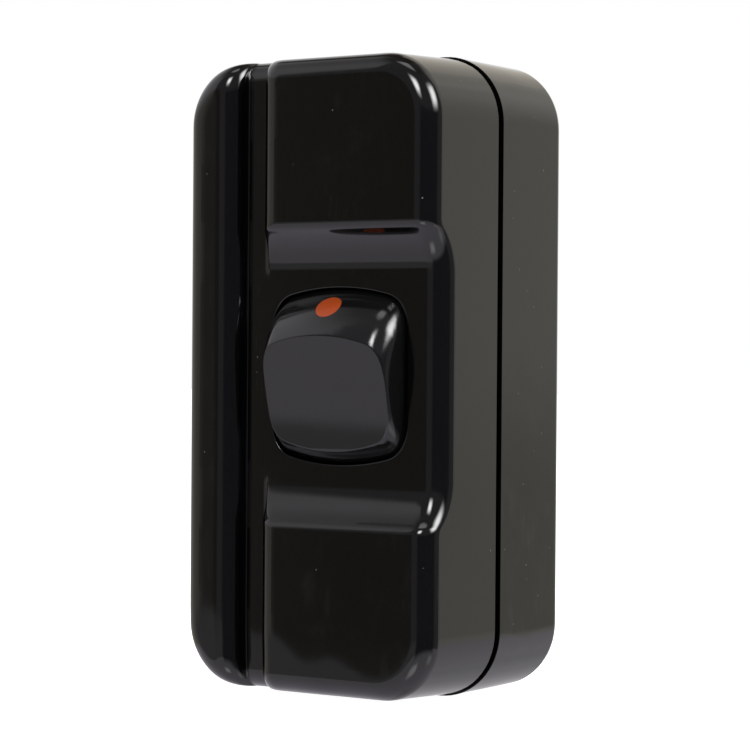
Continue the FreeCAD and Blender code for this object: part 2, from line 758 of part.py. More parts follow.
for x, z in mechanism_spots:
    circle(sketch, x, z, mechanism_screw_radius + 2 * thread_clearance)
pocket(base, sketch, base_thickness)


# Screws: one profile turned about its axis and copied to each spot

def screw_group(label, spots, seat_y, length, shank_radius, head_radius, head_height, inward):
    # the head's underside lies on seat_y, the shank runs from it along inward (-1 to the front, +1 back)
    bodies = []
    for number, (x, z) in enumerate(spots):
        body = new_body(f"{label}_{number}")
        sketch = sketch_on(body, f"{label}_section_{number}", "XY_Plane")
        outline(sketch, [
            (0, -inward * head_height), (head_radius, -inward * head_height), (head_radius, 0),
            (shank_radius, 0), (shank_radius, inward * length), (0, inward * length),
        ])
        turn_about(body, "Revolution", sketch, "V_Axis")
        sketch = sketch_on(body, f"{label}_slot_{number}", "XY_Plane", z=-head_radius - overcut)
        slot_floor = -inward * (head_height - slot_depth)
        slot_top = -inward * (head_height + overcut)
        outline(sketch, [
            (-slot_width / 2, slot_floor), (slot_width / 2, slot_floor),
            (slot_width / 2, slot_top), (-slot_width / 2, slot_top),
        ])
        pocket(body, sketch, 2 * head_radius + 2 * overcut, flip=True)
        place(body, x, seat_y, z)
        bodies.append(body)
    group = doc.addObject("Part::Compound", label)
    group.Label = label
    group.Links = bodies
    return group


base_back = base_y + base_thickness
mechanism_screws = screw_group("mechanism_screws", mechanism_spots, base_back,
                               base_thickness + mechanism_screw_length - overcut,
                               mechanism_screw_radius, small_head_radius, small_head_height, -1)
case_seat = rear_depth - case_head_sink
case_screws = screw_group("case_screws", case_screw_spots, case_seat, case_seat + insert_length - overcut,
                          case_screw_radius, case_head_radius, case_head_height, -1)

# Brass inserts in the front shell's bosses
insert_bodies = []
for number, (x, z) in enumerate(case_screw_spots):
    body = new_body(f"case_inserts_{number}")
    sketch = sketch_on(body, f"insert_section_{number}", "XZ_Plane")
    circle(sketch, 0, 0, insert_radius)
    circle(sketch, 0, 0, case_screw_radius + thread_clearance)
    pad(body, sketch, insert_length)
    place(body, x, 0, z)
    insert_bodies.append(body)
case_inserts = doc.addObject("Part::Compound", "case_inserts")
case_inserts.Label = "case_inserts"
case_inserts.Links = insert_bodies

# See-saw contact: a strip with a shallow valley under the plunger, on a trunnion pin
seesaw = new_body("moving_contact")
sketch = sketch_on(seesaw, "seesaw_section", "YZ_Plane", z=-strip_width / 2)
outline(sketch, [
    (0, 0), (-seesaw_rise, seesaw_valley), (-seesaw_rise, seesaw_reach),
    (-seesaw_rise - strip_thickness, seesaw_reach), (-seesaw_rise - strip_thickness, seesaw_valley),
    (-strip_thickness, 0), (-seesaw_rise - strip_thickness, -seesaw_valley),
    (-seesaw_rise - strip_thickness, -seesaw_reach), (-seesaw_rise, -seesaw_reach),
    (-seesaw_rise, -seesaw_valley),
])
pad(seesaw, sketch, strip_width)
sketch = sketch_on(seesaw, "seesaw_pin", "YZ_Plane", z=-seesaw_pin_length / 2)
circle(sketch, 0, 0, seesaw_pin_radius)
pad(seesaw, sketch, seesaw_pin_length)
seesaw_pivot = (rocker_place, seesaw_y, middle, -seesaw_tilt)
place(seesaw, *seesaw_pivot)

moving_tip = new_body("moving_contact_tip")
sketch = sketch_on(moving_tip, "moving_tip_plan", "XZ_Plane", z=seesaw_rise)
circle(sketch, 0, contact_place, contact_radius)
pad(moving_tip, sketch, moving_tip_height, flip=True)
place(moving_tip, *seesaw_pivot)

# Bracket: two notched cheeks folded up from a strip that runs to the supply terminal
bracket = new_body("common_bracket")
bracket_left = rocker_place - bracket_gap / 2 - strip_thickness
bracket_right = rocker_place + bracket_gap / 2 + strip_thickness
bracket_low, bracket_high = middle - bracket_length / 2, middle + bracket_length / 2
tail_left, tail_right = terminal_x - strip_width / 2, terminal_x + strip_width / 2
terminal_half = terminal_length / 2
sketch = sketch_on(bracket, "bracket_strip", "XZ_Plane", z=-base_y)
outline(sketch, [
    (bracket_left, bracket_high), (bracket_left, bracket_low), (tail_left, bracket_low),
    (tail_left, mechanism_low - terminal_half), (tail_right, mechanism_low - terminal_half),
    (tail_right, bracket_high),
])
pad(bracket, sketch, strip_thickness)
sketch = sketch_on(bracket, "bracket_cheeks", "XZ_Plane", z=-base_y)
for left in (bracket_left, bracket_right - strip_thickness):
    rectangle(sketch, left, bracket_low, left + strip_thickness, bracket_high)
pad(bracket, sketch, base_y - seesaw_y + seesaw_pin_radius)
notch_radius = seesaw_pin_radius + running_clearance
sketch = sketch_on(bracket, "pin_notches", "YZ_Plane", z=bracket_left - overcut)
notch_top = seesaw_y - seesaw_pin_radius - overcut
outline(sketch, [
    (notch_top, middle - notch_radius), (seesaw_y, middle - notch_radius, notch_radius, 1),
    (seesaw_y + notch_radius, middle, notch_radius, 1), (seesaw_y, middle + notch_radius),
    (notch_top, middle + notch_radius),
])
pocket(bracket, sketch, bracket_gap + 2 * strip_thickness + 2 * overcut, flip=True)

fixed_contact = new_body("fixed_contact")
contact_z = middle + contact_place
contact_left = rocker_place - strip_width / 2
sketch = sketch_on(fixed_contact, "fixed_strip", "XZ_Plane", z=-base_y)
outline(sketch, [
    (contact_left, contact_z - strip_width / 2), (tail_right, contact_z - strip_width / 2),
    (tail_right, mechanism_high + terminal_half), (tail_left, mechanism_high + terminal_half),
    (tail_left, contact_z + strip_width / 2), (contact_left, contact_z + strip_width / 2),
])
pad(fixed_contact, sketch, strip_thickness)
fixed_tip = new_body("fixed_contact_tip")
sketch = sketch_on(fixed_tip, "fixed_tip_plan", "XZ_Plane", z=-strip_y)
circle(sketch, rocker_place, contact_z, contact_radius)
tip_swing = (contact_place + contact_radius) * sine(seesaw_tilt)
tip_reach = tip_swing + (moving_tip_height - seesaw_rise) * cosine(seesaw_tilt)
pad(fixed_tip, sketch, strip_y - seesaw_y - tip_reach - contact_gap)


# Brass blocks: a wire hole along the cord, and a screw hole from the back

def brass_block(label, x, z, length, back_y, screws):
    body = new_body(label)
    half = terminal_width / 2
    sketch = sketch_on(body, f"{label}_plan", "XZ_Plane", z=-back_y)
    rounded_rectangle(sketch, x, z, terminal_width, length, terminal_width / 6)
    pad(body, sketch, terminal_height)
    sketch = sketch_on(body, f"{label}_wire_hole", "XY_Plane", z=z - length / 2 - overcut)
    circle(sketch, x, back_y - terminal_height + half, wire_hole_radius)
    pocket(body, sketch, length + 2 * overcut, flip=True)
    sketch = sketch_on(body, f"{label}_screw_holes", "XZ_Plane", z=-back_y)
    for screw_x, screw_z in screws:
        circle(sketch, screw_x, screw_z, terminal_screw_radius + thread_clearance)
    pocket(body, sketch, terminal_height - half, flip=True)
    return body


supply = brass_block("supply_terminal", terminal_x, mechanism_low, terminal_length, strip_y,
                     terminal_spots[:1])
load = brass_block("load_terminal", terminal_x, mechanism_high, terminal_length, strip_y,
                   terminal_spots[1:])
neutral = brass_block("neutral_connector", -connector_place, connector_low, connector_length, base_y,
                      connector_spots[:2])
earth = brass_block("earth_connector", -connector_place, connector_high, connector_length, base_y,
                    connector_spots[2:])
for body, spots in ((bracket, terminal_spots[:1]), (fixed_contact, terminal_spots[1:])):
    sketch = sketch_on(body, f"{body.Label}_screw_hole", "XZ_Plane", z=-base_y)
    for x, z in spots:
        circle(sketch, x, z, terminal_screw_radius + 2 * thread_clearance)
    pocket(body, sketch, strip_thickness, flip=True)
screw_reach = base_thickness + terminal_height - terminal_width / 2
terminal_screws = screw_group("terminal_screws", screw_spots, base_back, screw_reach,
                              terminal_screw_radius, small_head_radius, small_head_height, -1)


# Cord clamps: a saddle strap across the cord at each end, screwed to the rear shell

def cord_clamp(label, z):
    body = new_body(label)
    arch = cord_radius + clamp_thickness
    foot = clamp_span / 2 + clamp_boss_radius
    rise = root(arch * arch - clamp_thickness * clamp_thickness)
    sketch = sketch_on(body, f"{label}_section", "XY_Plane", z=z - clamp_width / 2)
    outline(sketch, [
        (-foot, 0), (-foot, -clamp_thickness), (-rise, -clamp_thickness, arch, 1), (0, -arch, arch, 1),
        (rise, -clamp_thickness), (foot, -clamp_thickness), (foot, 0), (cord_radius, 0, cord_radius, -1),
        (0, -cord_radius, cord_radius, -1), (-cord_radius, 0),
    ])
    pad(body, sketch, clamp_width)
    sketch = sketch_on(body, f"{label}_holes", "XZ_Plane")
    for side in (-1, 1):
        circle(sketch, side * clamp_span / 2, z, mechanism_screw_radius + 2 * thread_clearance)
    pocket(body, sketch, clamp_thickness + overcut, flip=True)
    return body


lower_clamp = cord_clamp("lower_cord_clamp", clamp_inset)
upper_clamp = cord_clamp("upper_cord_clamp", case_height - clamp_inset)
clamp_screws = screw_group("cord_clamp_screws", clamp_spots, -clamp_thickness,
                           clamp_thickness + clamp_screw_length - overcut,
                           mechanism_screw_radius, small_head_radius, small_head_height, 1)

sub_parts = [front, rear, rocker, dot, plunger, spring, base, mechanism_screws, seesaw, moving_tip, bracket,
             fixed_contact, fixed_tip, supply, load, neutral, earth, terminal_screws, lower_clamp,
             upper_clamp, clamp_screws, case_screws, case_inserts]


# Nothing is written unless every object is sound and every cut removes material

def check_model():
    doc.recompute()
    for item in doc.Objects:
        if "Invalid" in item.State or "Error" in item.State:
            raise RuntimeError(f"{item.Label} failed: {item.State}")
        if item.TypeId in ("PartDesign::Pocket", "PartDesign::Groove"):
            if item.Shape.Volume > item.BaseFeature.Shape.Volume - 1e-6:
                raise RuntimeError(f"{item.Label} removes nothing")
    for part in sub_parts:
        if part.Shape.isNull() or not part.Shape.isValid():
            raise RuntimeError(f"{part.Label} has no sound shape")


check_model()
os.makedirs("parts", exist_ok=True)
for part in sub_parts:
    part.Shape.exportStep(f"parts/{part.Label}.step")
    box = part.Shape.BoundBox
    print(part.Label, len(part.Shape.Solids), round(part.Shape.Volume, 1),
          [round(v, 2) for v in (box.XMin, box.XMax, box.YMin, box.YMax, box.ZMin, box.ZMax)])
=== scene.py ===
import math

import bpy
import numpy as np
from mathutils import Euler, Matrix, Vector


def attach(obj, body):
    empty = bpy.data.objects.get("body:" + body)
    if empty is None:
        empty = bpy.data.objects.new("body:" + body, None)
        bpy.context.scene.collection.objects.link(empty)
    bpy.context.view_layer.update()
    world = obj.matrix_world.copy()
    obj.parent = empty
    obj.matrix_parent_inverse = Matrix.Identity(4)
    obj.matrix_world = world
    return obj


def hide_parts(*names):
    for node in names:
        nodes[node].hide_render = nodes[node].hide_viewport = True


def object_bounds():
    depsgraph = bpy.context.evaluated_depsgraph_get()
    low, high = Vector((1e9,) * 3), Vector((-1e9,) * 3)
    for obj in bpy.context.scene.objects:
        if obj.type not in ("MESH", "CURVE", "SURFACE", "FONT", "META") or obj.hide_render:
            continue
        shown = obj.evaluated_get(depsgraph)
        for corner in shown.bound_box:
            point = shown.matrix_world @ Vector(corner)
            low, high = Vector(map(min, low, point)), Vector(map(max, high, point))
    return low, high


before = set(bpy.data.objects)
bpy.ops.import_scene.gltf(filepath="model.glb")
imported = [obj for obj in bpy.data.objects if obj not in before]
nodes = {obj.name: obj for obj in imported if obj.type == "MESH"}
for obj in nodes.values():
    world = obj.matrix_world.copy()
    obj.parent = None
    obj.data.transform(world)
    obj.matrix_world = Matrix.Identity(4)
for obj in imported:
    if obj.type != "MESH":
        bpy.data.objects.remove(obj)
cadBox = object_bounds()
scene = bpy.context.scene
mm = 0.001


# Camera: the photograph's place, lens and framing, worked out for a 750 by 750 picture

photo = {
    "size": 750,
    "target": (0.0, 0.0, 38.0),
    "azimuth": 34.19,
    "elevation": 0.51,
    "roll": 0.41,
    "distance": 324.8,
    "focalPixels": 2668.5,
    "centre": (369.12, 375.77),
    "sensor": 36.0,
}


def outwardRay(azimuth, elevation):
    azimuth, elevation = math.radians(azimuth), math.radians(elevation)
    return Vector((math.sin(azimuth) * math.cos(elevation), -math.cos(azimuth) * math.cos(elevation),
                   math.sin(elevation)))


def addCamera():
    data = bpy.data.cameras.new("photoCamera")
    camera = bpy.data.objects.new("photoCamera", data)
    scene.collection.objects.link(camera)
    outward = outwardRay(photo["azimuth"], photo["elevation"])
    place = Vector(photo["target"]) * mm + outward * photo["distance"] * mm
    roll = Euler((0, 0, math.radians(photo["roll"]))).to_quaternion()
    turn = (-outward).to_track_quat("-Z", "Y") @ roll
    camera.matrix_world = Matrix.Translation(place) @ turn.to_matrix().to_4x4()
    half = photo["size"] / 2
    data.sensor_width = photo["sensor"]
    data.lens = photo["focalPixels"] * photo["sensor"] / photo["size"]
    data.shift_x = (half - photo["centre"][0]) / photo["size"]
    data.shift_y = (photo["centre"][1] - half) / photo["size"]
    data.clip_start = 0.01
    scene.camera = camera


addCamera()
print("camera placed")


# Studio: a white surround painted with screens, a pale table and two soft boxes

studio = {
    "surround": (1.0, 1.0, 1.0, 1.0),
    "tableReach": 2.0,
    "tableColour": (0.6, 0.6, 0.6, 1.0),
    "tableRough": 0.9,
    "tableGlow": 1.0,
}
# painted in this order: ranges of azimuth and elevation and widths of their soft edges in degrees,
# then the colour
screens = {
    "leftWall": ((-112, -40), (10, 70), (8, 8), (0.95, 0.94, 0.98, 1)),
    "dimCeiling": ((-200, 200), (54, 120), (8, 32), (0.22, 0.2, 0.2, 1)),
    "darkBehind": ((-185, -114), (42, 120), (8, 10), (0.13, 0.11, 0.09, 1)),
    "frontWall": ((-40, 130), (-40, 64), (5, 10), (0.29, 0.28, 0.3, 1)),
    "leftScreen": ((-132, -39), (-60, 14), (10, 10), (0.6, 0.575, 0.52, 1)),
    "warmDark": ((-39, -22), (-30, 14), (10, 6), (0.148, 0.138, 0.12, 1)),
    "lowBand": ((-60, 8), (-40, -8), (10, 4), (0.47, 0.45, 0.46, 1)),
    "farTable": ((-140, 136), (-100, -17.6), (6, 2), (0.9, 0.86, 0.93, 1)),
    "blueDark": ((8, 100), (-22, 13), (14, 10), (0.118, 0.118, 0.14, 1)),
    "nearTable": ((-140, 136), (-100, -38), (6, 20), (0.99, 0.94, 1.06, 1)),
    "rightScreen": ((134, 186), (-110, 58), (6, 10), (0.87, 0.85, 0.76, 1)),
    "rightFar": ((147, 164), (-110, 58), (4, 10), (0.77, 0.75, 0.67, 1)),
    "rightHigh": ((130, 168), (16, 60), (10, 20), (1.02, 1.0, 0.92, 1)),
    "backHigh": ((-190, -150), (18, 60), (8, 8), (0.99, 0.93, 0.82, 1)),
    "rightLow": ((134, 176), (-9, -1.5), (6, 4), (0.75, 0.73, 0.66, 1)),
    "rightLowFar": ((148, 152), (-9, -1.5), (3, 4), (0.56, 0.545, 0.49, 1)),
    "rightTable": ((130, 186), (-110, -12), (6, 6), (0.9, 0.86, 0.92, 1)),
    "farRightTable": ((164, 190), (-110, -14), (10, 6), (0.74, 0.72, 0.76, 1)),
    "backTable": ((-190, -140), (-110, -14), (6, 6), (0.7, 0.68, 0.71, 1)),
    "overhead": ((-50, 55), (72, 90), (20, 8), (2.4, 2.4, 2.4, 1)),
    "keyGlint": ((6, 32), (-50, -33), (12, 10), (2.5, 2.5, 2.5, 1)),
    "sideGlint": ((80, 104), (-40, -28), (12, 8), (1.6, 1.6, 1.6, 1)),
}
softBoxes = {
    "keyBox": {
        "azimuth": 16.0,
        "elevation": 38.0,
        "distance": 0.7,
        "size": (0.3, 0.42),
        "radiance": 20.0,
        "edge": 0.45,
    },
    "sideBox": {
        "azimuth": 90.0,
        "elevation": 34.0,
        "distance": 0.7,
        "size": (0.5, 0.58),
        "radiance": 18.0,
        "edge": 0.45,
    },
}


def setSocket(tree, socket, value):
    if isinstance(value, bpy.types.NodeSocket):
        tree.links.new(value, socket)
    else:
        socket.default_value = value


def mathNode(tree, operation, *values, clamp=False):
    node = tree.nodes.new("ShaderNodeMath")
    node.operation = operation
    node.use_clamp = clamp
    for socket, value in zip(node.inputs, values):
        setSocket(tree, socket, value)
    return node.outputs[0]


def rampNode(tree, value, low, high, start=0.0, stop=1.0):
    # smooth change from start at low to stop at high
    node = tree.nodes.new("ShaderNodeMapRange")
    node.interpolation_type = "SMOOTHSTEP"
    labels = ("Value", "From Min", "From Max", "To Min", "To Max")
    for label, amount in zip(labels, (value, low, high, start, stop)):
        setSocket(tree, node.inputs[label], amount)
    return node.outputs["Result"]


def windowNode(tree, value, low, high, half):
    # one between low and high, with soft edges that reach half to both sides of them
    rise = rampNode(tree, value, low - half, low + half)
    fall = rampNode(tree, value, high - half, high + half, 1.0, 0.0)
    return mathNode(tree, "MULTIPLY", rise, fall)


def mixNode(tree, factor, first, second):
    node = tree.nodes.new("ShaderNodeMix")
    node.data_type = "RGBA"
    for socket, value in zip((node.inputs[0], node.inputs[6], node.inputs[7]), (factor, first, second)):
        setSocket(tree, socket, value)
    return node.outputs[2]


def addWorld():
    world = bpy.data.worlds.new("studio")
    scene.world = world
    world.use_nodes = True
    tree = world.node_tree
    parts = tree.nodes.new("ShaderNodeSeparateXYZ")
    tree.links.new(tree.nodes.new("ShaderNodeTexCoord").outputs["Generated"], parts.inputs[0])
    x, y, z = parts.outputs
    directions = (
        mathNode(tree, "ARCTAN2", x, mathNode(tree, "MULTIPLY", y, -1.0)),
        mathNode(tree, "ARCSINE", z),
    )
    colour = studio["surround"]
    for azimuth, elevation, soft, paint in screens.values():
        inside = 1.0
        for value, limits, width in zip(directions, (azimuth, elevation), soft):
            low, high = np.radians(limits).tolist()
            window = windowNode(tree, value, low, high, math.radians(width) / 2)
            inside = mathNode(tree, "MULTIPLY", inside, window)
        colour = mixNode(tree, inside, colour, paint)
    # the camera sees the plain surround, and only reflections see the screens
    inView = tree.nodes.new("ShaderNodeLightPath").outputs["Is Camera Ray"]
    colour = mixNode(tree, inView, colour, studio["surround"])
    tree.links.new(colour, tree.nodes["Background"].inputs["Color"])


def addSoftBox(name, box):
    data = bpy.data.lights.new(name, "AREA")
    data.shape = "RECTANGLE"
    data.size, data.size_y = box["size"]
    data.energy = box["radiance"] * math.pi * data.size * data.size_y
    # strength falls off over the edge's share of the box, so that highlights have soft edges
    data.use_nodes = True
    tree = data.node_tree
    parts = tree.nodes.new("ShaderNodeSeparateXYZ")
    tree.links.new(tree.nodes.new("ShaderNodeNewGeometry").outputs["Parametric"], parts.inputs[0])
    half = box["edge"] / 2
    across, along = (windowNode(tree, share, half, 1 - half, half) for share in parts.outputs[:2])
    falloff = mathNode(tree, "MULTIPLY", across, along)
    tree.links.new(falloff, tree.nodes["Emission"].inputs["Strength"])
    light = bpy.data.objects.new(name, data)
    scene.collection.objects.link(light)
    outward = outwardRay(box["azimuth"], box["elevation"])
    turn = (-outward).to_track_quat("-Z", "Y")
    place = Vector(photo["target"]) * mm + outward * box["distance"]
    light.matrix_world = Matrix.Translation(place) @ turn.to_matrix().to_4x4()


def addTable():
    # flat top under the object's lowest point, white to the camera, left to the screens in reflections
    reach, level = studio["tableReach"], cadBox[0][2]
    outline = ((-reach, -reach), (reach, -reach), (reach, reach), (-reach, reach))
    mesh = bpy.data.meshes.new("table")
    mesh.from_pydata([(x, y, level) for x, y in outline], [], [(0, 1, 2, 3)])
    table = bpy.data.objects.new("table", mesh)
    scene.collection.objects.link(table)
    table.visible_glossy = False
    material = bpy.data.materials.new("paleTable")
    material.use_nodes = True
    tree = material.node_tree
    shader = tree.nodes["Principled BSDF"]
    shader.inputs["Base Color"].default_value = studio["tableColour"]
    shader.inputs["Roughness"].default_value = studio["tableRough"]
    shader.inputs["Emission Color"].default_value = studio["surround"]
    inView = tree.nodes.new("ShaderNodeLightPath").outputs["Is Camera Ray"]
    glow = mathNode(tree, "MULTIPLY", inView, studio["tableGlow"])
    tree.links.new(glow, shader.inputs["Emission Strength"])
    mesh.materials.append(material)


addWorld()
for name, box in softBoxes.items():
    addSoftBox(name, box)
addTable()
scene.view_settings.view_transform = "Standard"
print("studio lit")


# Effects that several materials share, as node groups on Object coordinates

def newGroup(name, inputs, outputs):
    tree = bpy.data.node_groups.new(name, "ShaderNodeTree")
    for label, value in inputs.items():
        socket = tree.interface.new_socket(name=label, in_out="INPUT", socket_type="NodeSocketFloat")
        socket.default_value = value
    for label in outputs:
        tree.interface.new_socket(name=label, in_out="OUTPUT", socket_type="NodeSocketFloat")
    given = tree.nodes.new("NodeGroupInput").outputs
    wanted = tree.nodes.new("NodeGroupOutput").inputs
    return tree, given, wanted


def objectPlace(tree, stretch=(1.0, 1.0, 1.0)):
    # Object coordinates in millimetres, squeezed along each axis by stretch
    mapping = tree.nodes.new("ShaderNodeMapping")
    tree.links.new(tree.nodes.new("ShaderNodeTexCoord").outputs["Object"], mapping.inputs["Vector"])
    mapping.inputs["Scale"].default_value = [amount / mm for amount in stretch]
    return mapping.outputs["Vector"]


def noiseNode(tree, place, scale, detail=2.0, roughness=0.5):
    node = tree.nodes.new("ShaderNodeTexNoise")
    values = {"Vector": place, "Scale": scale, "Detail": detail, "Roughness": roughness}
    for label, value in values.items():
        setSocket(tree, node.inputs[label], value)
    return node.outputs["Fac"]


def dustGroup():
    # pale specks: the inside of small circles round scattered cell points, only in some of the cells
    sizes = {"Density": 0.5, "Size": 0.08, "Share": 0.3}
    tree, given, wanted = newGroup("dustSpecks", sizes, ["Mask"])
    cells = tree.nodes.new("ShaderNodeTexVoronoi")
    tree.links.new(objectPlace(tree), cells.inputs["Vector"])
    tree.links.new(given["Density"], cells.inputs["Scale"])
    speck = mathNode(tree, "LESS_THAN", cells.outputs["Distance"], given["Size"])
    parts = tree.nodes.new("ShaderNodeSeparateColor")
    tree.links.new(cells.outputs["Color"], parts.inputs[0])
    chosen = mathNode(tree, "LESS_THAN", parts.outputs[0], given["Share"])
    tree.links.new(mathNode(tree, "MULTIPLY", speck, chosen), wanted["Mask"])
    return tree


def smudgeGroup():
    # roughness between Low and High, in soft patches broken up by finer wiping marks
    sizes = {"Low": 0.05, "High": 0.2, "Scale": 0.12}
    tree, given, wanted = newGroup("smudgedGloss", sizes, ["Roughness"])
    wipeStretch, wipeFineness = (1.0, 1.0, 0.25), 6.0
    patchEdges, wipeEdges = (0.42, 0.7), (0.3, 0.7)
    patches = noiseNode(tree, objectPlace(tree), given["Scale"], 3.0, 0.6)
    fine = mathNode(tree, "MULTIPLY", given["Scale"], wipeFineness)
    wiped = noiseNode(tree, objectPlace(tree, wipeStretch), fine)
    inPatch = rampNode(tree, patches, *patchEdges)
    both = mathNode(tree, "MULTIPLY", inPatch, rampNode(tree, wiped, *wipeEdges))
    tree.links.new(rampNode(tree, both, 0.0, 1.0, given["Low"], given["High"]), wanted["Roughness"])
    return tree


def rippleGroup():
    # slow waviness of a moulded skin plus hairline scratches that run mostly up and down
    sizes = {"Waves": 0.16, "Depth": 1.0, "Scratches": 0.1}
    tree, given, wanted = newGroup("mouldRipple", sizes, ["Height", "Lines"])
    hairStretch, hairPitch, hairWidth = (1.0, 1.0, 0.03), 2.6, 0.012
    patchScale, patchEdges = 0.2, (0.52, 0.66)
    waves = noiseNode(tree, objectPlace(tree), given["Waves"], 1.0)
    lines = noiseNode(tree, objectPlace(tree, hairStretch), hairPitch)
    offLine = mathNode(tree, "ABSOLUTE", mathNode(tree, "SUBTRACT", lines, 0.5))
    scored = rampNode(tree, offLine, 0.0, hairWidth, 1.0, 0.0)
    patchy = rampNode(tree, noiseNode(tree, objectPlace(tree), patchScale), *patchEdges)
    scored = mathNode(tree, "MULTIPLY", scored, patchy)
    cutIn = mathNode(tree, "MULTIPLY", scored, given["Scratches"])
    deep = mathNode(tree, "MULTIPLY", waves, given["Depth"])
    tree.links.new(mathNode(tree, "SUBTRACT", deep, cutIn), wanted["Height"])
    tree.links.new(scored, wanted["Lines"])
    return tree


def grainGroup():
    # colour share and height of a fine, even grain with slow drift
    tree, given, wanted = newGroup("fineGrain", {"Scale": 8.0, "Drift": 0.15}, ["Share", "Height"])
    slowEdges, fineEdges = (0.3, 0.7), (0.2, 0.8)
    fine = noiseNode(tree, objectPlace(tree), given["Scale"], 2.0, 0.6)
    slow = noiseNode(tree, objectPlace(tree), given["Drift"])
    drifted = rampNode(tree, slow, *slowEdges)
    share = mathNode(tree, "MULTIPLY", drifted, rampNode(tree, fine, *fineEdges))
    tree.links.new(share, wanted["Share"])
    tree.links.new(fine, wanted["Height"])
    return tree


def toolMarkGroup():
    # turned or drawn metal: streaks along one axis, with darker tarnish in patches
    tree, given, wanted = newGroup("toolMarks", {"Scale": 3.0, "Tarnish": 0.25}, ["Streak", "Dull"])
    drawnOut, dullEdges = (1.0, 0.06, 1.0), (0.4, 0.75)
    streak = noiseNode(tree, objectPlace(tree, drawnOut), given["Scale"], 3.0, 0.6)
    dull = noiseNode(tree, objectPlace(tree), given["Tarnish"], 3.0, 0.6)
    tree.links.new(streak, wanted["Streak"])
    tree.links.new(rampNode(tree, dull, *dullEdges), wanted["Dull"])
    return tree


effects = {
    "dust": dustGroup(),
    "smudge": smudgeGroup(),
    "ripple": rippleGroup(),
    "grain": grainGroup(),
    "toolMarks": toolMarkGroup(),
}


def effectNode(tree, effect, **values):
    node = tree.nodes.new("ShaderNodeGroup")
    node.node_tree = effects[effect]
    for label, value in values.items():
        setSocket(tree, node.inputs[label], value)
    return node.outputs


def newMaterial(name):
    material = bpy.data.materials.new(name)
    material.use_nodes = True
    tree = material.node_tree
    return material, tree, tree.nodes["Principled BSDF"]


def bumpNode(tree, height, depth, strength=1.0):
    # depth is the rise in millimetres for a height of one
    node = tree.nodes.new("ShaderNodeBump")
    node.inputs["Strength"].default_value = strength
    node.inputs["Distance"].default_value = depth * mm
    tree.links.new(height, node.inputs["Height"])
    return node.outputs["Normal"]


# Materials

shellFinish = {
    "deep": (0.0009, 0.0009, 0.0009, 1),
    "worn": (0.0016, 0.0016, 0.0015, 1),
    "dust": (0.08, 0.078, 0.075, 1),
    "gloss": (0.035, 0.15),
    "dustRough": 0.5,
    "lineRough": 0.12,
    "rippleDepth": 0.012,
}


def shellBlack():
    material, tree, shader = newMaterial("shellBlack")
    grain = effectNode(tree, "grain", Scale=5.0, Drift=0.12)
    ripple = effectNode(tree, "ripple", Waves=0.16, Scratches=0.06)
    dust = effectNode(tree, "dust", Density=0.55, Size=0.05, Share=0.22)
    plastic = mixNode(tree, grain["Share"], shellFinish["deep"], shellFinish["worn"])
    dusty = mixNode(tree, dust["Mask"], plastic, shellFinish["dust"])
    setSocket(tree, shader.inputs["Base Color"], dusty)
    low, high = shellFinish["gloss"]
    smudge = effectNode(tree, "smudge", Low=low, High=high, Scale=0.11)
    specks = mathNode(tree, "MULTIPLY", dust["Mask"], shellFinish["dustRough"])
    lines = mathNode(tree, "MULTIPLY", ripple["Lines"], shellFinish["lineRough"])
    rough = mathNode(tree, "ADD", smudge["Roughness"], specks)
    setSocket(tree, shader.inputs["Roughness"], mathNode(tree, "ADD", rough, lines, clamp=True))
    normal = bumpNode(tree, ripple["Height"], shellFinish["rippleDepth"])
    setSocket(tree, shader.inputs["Normal"], normal)
    return material


rockerFinish = {
    "flank": (0.0034, 0.0034, 0.0036, 1),
    "face": (0.0024, 0.0024, 0.0026, 1),
    "faceWorn": (0.004, 0.004, 0.0042, 1),
    "flankGloss": 0.13,
    "faceGloss": (0.03, 0.06),
    "grainShare": 0.4,
    "grainDepth": 0.004,
}


def rockerSatin():
    # the piece's faceShare attribute is one on the pressed face and nought on its flanks
    material, tree, shader = newMaterial("rockerSatin")
    share = tree.nodes.new("ShaderNodeAttribute")
    share.attribute_name = "faceShare"
    onFace = share.outputs["Fac"]
    grain = effectNode(tree, "grain", Scale=9.0, Drift=0.2)
    ripple = effectNode(tree, "ripple", Waves=0.3, Scratches=0.1)
    face = mixNode(tree, grain["Share"], rockerFinish["face"], rockerFinish["faceWorn"])
    setSocket(tree, shader.inputs["Base Color"], mixNode(tree, onFace, rockerFinish["flank"], face))
    low, high = rockerFinish["faceGloss"]
    smudge = effectNode(tree, "smudge", Low=low, High=high, Scale=0.2)
    rough = rampNode(tree, onFace, 0.0, 1.0, rockerFinish["flankGloss"], smudge["Roughness"])
    setSocket(tree, shader.inputs["Roughness"], rough)
    fine = mathNode(tree, "MULTIPLY", grain["Height"], rockerFinish["grainShare"])
    height = mathNode(tree, "ADD", ripple["Height"], fine)
    setSocket(tree, shader.inputs["Normal"], bumpNode(tree, height, rockerFinish["grainDepth"]))
    return material


